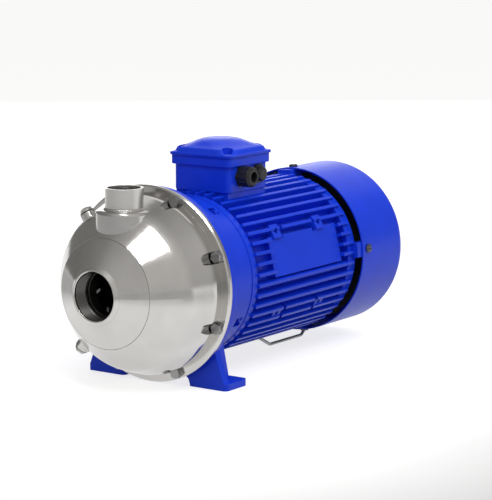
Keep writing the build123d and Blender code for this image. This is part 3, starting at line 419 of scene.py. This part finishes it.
def laminated(name, colour, roughness, sheet, groove_depth, edge, unevenness, shades):
    """Stack of thin sheets across the shaft line, each shade with its place between two joints."""
    made, shader, graph = start_material(name, metallic=1.0, specular=0.5)
    wave = graph.add("ShaderNodeTexWave", wave_type="BANDS", bands_direction="Y")
    wave.inputs["Scale"].default_value = 1 / (2 * math.pi * sheet)
    wave.inputs["Distortion"].default_value = unevenness
    graph.join(graph.place(), wave.inputs["Vector"])
    sheets = wave.outputs["Fac"]
    tone = graph.ramp(sheets, [(place, shade(colour, factor)) for place, factor in shades])
    graph.join(tone, shader.inputs["Base Color"])
    graph.join(graph.spread(sheets, 0, 1, *reversed(roughness)), shader.inputs["Roughness"])
    add_relief(graph, shader, sheets, groove_depth, edge)
    return made


steel_colour = (0.55, 0.54, 0.525)
paint_colour = linear(18, 62, 222)

turned_finishes = {
    "polished_stainless": {
        "colour": steel_colour, "roughness": (0.13, 0.20), "mark_scale": 2600,
        "mark_depth": 0.012 * MM},
    "stainless": {
        "colour": shade(steel_colour, 0.92), "roughness": (0.26, 0.36), "mark_scale": 1800,
        "mark_depth": 0.02 * MM},
    # Dark steel of the threads and of the parts inside the ports: painted shade of the bores
    "thread_steel": {
        "colour": (0.10, 0.098, 0.095), "roughness": (0.22, 0.34), "mark_scale": 1500,
        "mark_depth": 0.02 * MM},
    "shaft_steel": {
        "colour": (0.56, 0.56, 0.57), "roughness": (0.16, 0.26), "mark_scale": 3200,
        "mark_depth": 0.012 * MM},
}

grained_finishes = {
    # Satin steel of the outlet, made lighter than the casing's steel: painted light
    "satin_steel": {
        "colour": (0.66, 0.65, 0.63), "roughness": (0.30, 0.36), "grain_scale": 1800,
        "grain_depth": 0.006 * MM},
    "screw_steel": {
        "colour": (0.30, 0.30, 0.305), "roughness": (0.26, 0.42), "grain_scale": 900,
        "grain_depth": 0.012 * MM},
    # Cast steel of the impeller, made dark: painted shade inside the mouth
    "cast_steel": {
        "colour": (0.17, 0.168, 0.162), "roughness": (0.26, 0.4), "grain_scale": 500,
        "grain_depth": 0.05 * MM},
    "zinc_steel": {
        "colour": (0.60, 0.60, 0.61), "roughness": (0.28, 0.46), "grain_scale": 700,
        "grain_depth": 0.02 * MM, "spread": 0.12},
    "dark_steel": {
        "colour": (0.10, 0.10, 0.11), "roughness": (0.32, 0.5), "grain_scale": 900,
        "grain_depth": 0.02 * MM, "spread": 0.15},
    "brass": {
        "colour": (0.72, 0.52, 0.20), "roughness": (0.24, 0.38), "grain_scale": 800,
        "grain_depth": 0.015 * MM, "spread": 0.1},
    "copper_winding": {
        "colour": (0.50, 0.18, 0.07), "roughness": (0.22, 0.4), "grain_scale": 1.0,
        "grain_depth": 0.25 * MM, "metallic": 0.85, "stretch": (1400, 60, 1400), "spread": 0.2,
        "edge": 1.2 * MM},
    "blue_paint": {
        "colour": paint_colour, "roughness": (0.30, 0.42), "grain_scale": 900, "grain_depth": 0.02 * MM,
        "metallic": 0.0, "specular": 0.22, "wave_depth": 0.05 * MM, "spread": 0.05, "edge": 0.9 * MM},
    "black_rubber": {
        "colour": (0.016, 0.016, 0.017), "roughness": (0.6, 0.8), "grain_scale": 1200,
        "grain_depth": 0.03 * MM, "metallic": 0.0, "specular": 0.3},
    "black_plastic": {
        "colour": (0.012, 0.012, 0.013), "roughness": (0.38, 0.55), "grain_scale": 1600,
        "grain_depth": 0.03 * MM, "metallic": 0.0, "specular": 0.4, "spread": 0.2},
    "seal_ceramic": {
        "colour": (0.78, 0.76, 0.70), "roughness": (0.25, 0.4), "grain_scale": 1500,
        "grain_depth": 0.006 * MM, "metallic": 0.0},
    "seal_carbon": {
        "colour": (0.03, 0.03, 0.032), "roughness": (0.3, 0.45), "grain_scale": 1500,
        "grain_depth": 0.008 * MM, "metallic": 0.0},
}

laminated_finishes = {
    "core_steel": {
        "colour": (0.30, 0.30, 0.31), "roughness": (0.35, 0.6), "sheet": 0.5 * MM,
        "groove_depth": 0.06 * MM, "edge": 0.2 * MM, "unevenness": 0.6, "shades": ((0.2, 0.6), (0.8, 1.1))},
}


def make_materials():
    """A material for each of the record's slots and each of the other finishes."""
    kinds = ((turned_metal, turned_finishes), (grained, grained_finishes), (laminated, laminated_finishes))
    return {name: make(name, **finish) for make, finishes in kinds for name, finish in finishes.items()}


def finish_nodes(materials):
    """Gives every CAD node the material of its slot, or its own finish."""
    for entry in frame["record"]["subparts"]:
        name = entry["node"]
        node = frame["nodes"][name]
        chosen = materials[other_finishes.get(name, entry["material_slot"])]
        if not node.data.materials:
            node.data.materials.append(None)
        for slot in node.material_slots:
            slot.material = chosen


# Shapes

def turns(count):
    """Evenly spread angles of a whole turn."""
    return [2 * math.pi * i / count for i in range(count)]


def grid_faces(rows, columns, closed_rows=False, closed_columns=False):
    """Quads between neighbouring points of a grid that is stored row by row."""
    faces = []
    for row in range(rows if closed_rows else rows - 1):
        start = row * columns
        after = (row + 1) % rows * columns
        for left in range(columns if closed_columns else columns - 1):
            right = (left + 1) % columns
            faces.append((start + left, after + left, after + right, start + right))
    return faces


def stacked(rings, closed_ends=True):
    """Points and faces of a skin over rings that have as many points each."""
    columns = len(rings[0])
    points = [point for ring in rings for point in ring]
    faces = grid_faces(len(rings), columns, closed_columns=True)
    if closed_ends:
        faces.append(tuple(reversed(range(columns))))
        faces.append(tuple(range((len(rings) - 1) * columns, len(rings) * columns)))
    return points, faces


def joined(shapes):
    """Points and faces of several shapes as those of one."""
    points = []
    faces = []
    for more_points, more_faces in shapes:
        start = len(points)
        points.extend(more_points)
        faces.extend(tuple(start + index for index in face) for face in more_faces)
    return points, faces


def add_piece(name, points, faces, body, slot, materials, finish=None):
    """Smooth-shaded piece with its faces turned outwards, which rides on a body."""
    mesh = bpy.data.meshes.new(name)
    mesh.from_pydata(points, [], faces)
    shape = bmesh.new()
    shape.from_mesh(mesh)
    bmesh.ops.recalc_face_normals(shape, faces=shape.faces)
    shape.to_mesh(mesh)
    shape.free()
    for face in mesh.polygons:
        face.use_smooth = True
    mesh.materials.append(materials[finish or slot])
    piece = bpy.data.objects.new(name, mesh)
    scene.collection.objects.link(piece)
    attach(piece, body)
    return piece


def cut_bores(piece, places, radius, low, high):
    """Takes upright bores out of a piece, between two levels."""
    cutter_mesh = bpy.data.meshes.new("cutter")
    shape = bmesh.new()
    for x, y in places:
        middle = Matrix.Translation((x, y, (low + high) / 2))
        bmesh.ops.create_cone(
            shape, cap_ends=True, segments=bore_segments, radius1=radius, radius2=radius, depth=high - low,
            matrix=middle)
    shape.to_mesh(cutter_mesh)
    shape.free()
    cutter = bpy.data.objects.new("cutter", cutter_mesh)
    scene.collection.objects.link(cutter)
    cut = piece.modifiers.new("cut", "BOOLEAN")
    cut.operation = "DIFFERENCE"
    cut.solver = "EXACT"
    cut.object = cutter
    bpy.context.view_layer.update()
    result = bpy.data.meshes.new_from_object(piece.evaluated_get(bpy.context.evaluated_depsgraph_get()))
    piece.modifiers.remove(cut)
    piece.data = result
    bpy.data.objects.remove(cutter)


def stand_in(piece, node):
    """Keeps the piece's sharp corners and puts it in the place of a CAD node."""
    piece.data.set_sharp_from_angle(angle=sharp_angle)
    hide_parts(node)


# Threads and weld

def thread_points(bore_r, start, end):
    """Skin of a pipe thread inside a bore about the +Z line, which fades out at both ends."""
    count = int(((end - start) / thread_pitch - 1) * thread_segments)
    points = []
    for i in range(count + 1):
        angle = 2 * math.pi * i / thread_segments
        base = start + thread_pitch * i / thread_segments
        turns_from_end = min(i, count - i) / thread_segments
        rise = min(1.0, turns_from_end / thread_runout_turns)
        for along, height in thread_profile:
            radius = bore_r + thread_root_overlap - rise * height * thread_depth
            points.append((radius * math.cos(angle), radius * math.sin(angle), base + along * thread_pitch))
    return points, grid_faces(count + 1, len(thread_profile))


def make_threads(materials):
    """Threads of both ports, in a dark steel that paints the shade of their bores."""
    points, faces = thread_points(suction_bore_r, *suction_thread)
    suction = [(x, depth, z) for x, z, depth in points]
    add_piece("suction_thread", suction, faces, "pump", "stainless", materials, "thread_steel")
    points, faces = thread_points(outlet_bore_r, *outlet_thread)
    outlet = [(x, outlet_station + y, level) for x, y, level in points]
    add_piece("discharge_thread", outlet, faces, "pump", "stainless", materials, "thread_steel")


def make_weld(materials):
    """Rippled bead round the foot of the outlet."""
    points = []
    for angle in turns(weld_segments):
        size = weld_size * (1 + weld_ripple * math.cos(weld_ripples * angle))
        for turn in turns(weld_sides):
            radius = weld_r + size * math.cos(turn)
            points.append((
                radius * math.cos(angle),
                outlet_station + radius * math.sin(angle),
                weld_level + size * math.sin(turn)))
    faces = grid_faces(weld_segments, weld_sides, closed_rows=True, closed_columns=True)
    add_piece("outlet_weld", points, faces, "pump", "polished_stainless", materials)


# Terminal box

def rounded_square(half, corner, level):
    """Ring of points round the terminal box's centre line, in metres from millimetres."""
    ring = []
    for quarter in range(4):
        side_x = 1 if quarter in (0, 3) else -1
        side_y = 1 if quarter in (0, 1) else -1
        for step in range(corner_steps + 1):
            angle = math.pi / 2 * (quarter + step / corner_steps)
            x = side_x * (half - corner) + corner * math.cos(angle)
            y = side_y * (half - corner) + corner * math.sin(angle)
            ring.append((x * MM, box_station + y * MM, level * MM))
    return ring


def make_terminal_box(materials):
    points, faces = stacked([rounded_square(*ring) for ring in box_rings])
    box = add_piece("terminal_box_body", points, faces, "pump", "blue_paint", materials)
    stand_in(box, "terminal_box")


def make_terminal_lid(materials):
    """Crowned lid with a recess for each of its four screws."""
    points, faces = stacked([rounded_square(*ring) for ring in lid_rings])
    lid = add_piece("terminal_lid_shell", points, faces, "pump", "blue_paint", materials)
    reach = lid_screw_reach
    places = [(x * reach, box_station + y * reach) for x in (-1, 1) for y in (-1, 1)]
    cut_bores(lid, places, lid_recess_r, lid_recess_level, lid_recess_top)
    stand_in(lid, "terminal_lid")


# Fan

def fan_wheel():
    """Back plate and hub, turned about the shaft line."""
    plate_end = fan_start + fan_plate
    outline = (
        (fan_bore_r, fan_start), (fan_r, fan_start), (fan_r, plate_end), (fan_hub_r, plate_end),
        (fan_hub_r, fan_end), (fan_bore_r, fan_end), (fan_bore_r, fan_start))
    rings = []
    for radius, station in outline:
        circle = [(radius * math.cos(turn), station, radius * math.sin(turn)) for turn in turns(fan_segments)]
        rings.append(circle)
    return stacked(rings, closed_ends=False)


def fan_blade(start_turn):
    """Blade from inside the hub to the rim of the plate, leaning to one side on its way out."""
    root_r = fan_hub_r - fan_blade_overlap
    root_station = fan_start + fan_plate / 2
    corners = ((-0.5, root_station), (-0.5, fan_end), (0.5, fan_end), (0.5, root_station))
    points = []
    for side, station in corners:
        for step in range(fan_blade_steps + 1):
            share = step / fan_blade_steps
            radius = root_r + share * (fan_r - root_r)
            turn = start_turn + fan_blade_lean * share + side * fan_blade_wall / radius
            points.append((radius * math.cos(turn), station, radius * math.sin(turn)))
    width = fan_blade_steps + 1
    faces = grid_faces(len(corners), width, closed_rows=True)
    faces.append(tuple(row * width for row in range(len(corners))))
    faces.append(tuple(row * width + fan_blade_steps for row in reversed(range(len(corners)))))
    return points, faces


def make_fan(materials):
    """Radial fan with leaning blades on a back plate and a hub."""
    points, faces = joined([fan_wheel()] + [fan_blade(turn) for turn in turns(fan_blade_count)])
    fan = add_piece("cooling_fan", points, faces, "rotor", "black_plastic", materials)
    stand_in(fan, "fan")


# Plugs

def hexagon_share(turn):
    """Reach of a hexagon at an angle, as a share of the reach of its corners."""
    half_side = math.pi / 6
    from_middle = (turn + half_side) % (2 * half_side) - half_side
    return math.cos(half_side) / math.cos(from_middle)


def plug_ring(angle, radius, rise, hexagonal):
    """Ring of points about a line that points away from the shaft line at an angle."""
    out = plug_seat_r + rise * MM
    ring = []
    for turn in turns(plug_segments):
        reach = radius * MM * (hexagon_share(turn) if hexagonal else 1)
        across = reach * math.cos(turn)
        ring.append((
            out * math.cos(angle) - across * math.sin(angle),
            plug_station + reach * math.sin(turn),
            out * math.sin(angle) + across * math.cos(angle)))
    return ring


def make_plugs(materials):
    """Hexagon plugs with a flange, each on its seal."""
    for name, angle in plug_angles.items():
        points, faces = stacked([plug_ring(angle, *ring) for ring in plug_rings])
        plug = add_piece(name + "_head", points, faces, "pump", "stainless", materials)
        stand_in(plug, name)


# Floor

def make_floor_material():
    """Matt pale grey that glows white to the camera and in reflections, apart from its part of painted shade.
    """
    made, shader, graph = start_material("floor", metallic=0.0, specular=floor_specular)
    shader.inputs["Roughness"].default_value = floor_roughness
    parts = graph.add("ShaderNodeSeparateXYZ")
    graph.join(graph.place(), parts.inputs["Vector"])
    in_front = graph.calculate("MINIMUM", parts.outputs["Y"], 0.0)
    reach = graph.length(graph.flat(x=parts.outputs["X"], y=in_front))
    beyond = graph.spread(reach, *floor_shade_reach, 0, 1)
    before_end = graph.spread(reach, *floor_shade_end, 1, 0)
    not_behind = graph.spread(parts.outputs["Y"], *floor_shade_back, 1, 0)
    shaded = graph.times(graph.times(beyond, before_end), not_behind)
    # Painted shade: the floor's colour and glow are made darker in front of the object
    level = graph.spread(shaded, 0, 1, 1, floor_shade)
    graph.join(graph.times(level, floor_colour), shader.inputs["Base Color"])
    rays = graph.add("ShaderNodeLightPath")
    seen = graph.plus(rays.outputs["Is Camera Ray"], rays.outputs["Is Glossy Ray"])
    seen = graph.plus(seen, rays.outputs["Is Transmission Ray"])
    glow = graph.add("ShaderNodeEmission")
    graph.join(graph.times(graph.times(seen, level), floor_glow), glow.inputs["Strength"])
    both = graph.add("ShaderNodeAddShader")
    graph.join(shader.outputs["BSDF"], both.inputs[0])
    graph.join(glow.outputs["Emission"], both.inputs[1])
    graph.join(both.outputs["Shader"], made.node_tree.nodes["Material Output"].inputs["Surface"])
    return made


def make_floor():
    """Pale round floor, wide enough to reach the horizon, which keeps the object's shadow."""
    rim = [(floor_radius * math.cos(turn), floor_radius * math.sin(turn), 0) for turn in turns(floor_sides)]
    mesh = bpy.data.meshes.new("floor")
    mesh.from_pydata(rim, [], [tuple(range(floor_sides))])
    mesh.materials.append(make_floor_material())
    floor = bpy.data.objects.new("floor", mesh)
    floor.location = (0, 0, floor_level)
    scene.collection.objects.link(floor)


make_camera()
make_world()
for name, light in lights.items():
    make_light(name, **light)
make_floor()
materials = make_materials()
finish_nodes(materials)
for make in (make_threads, make_weld, make_terminal_box, make_terminal_lid, make_fan, make_plugs):
    make(materials)
scene.view_settings.view_transform = "Standard"
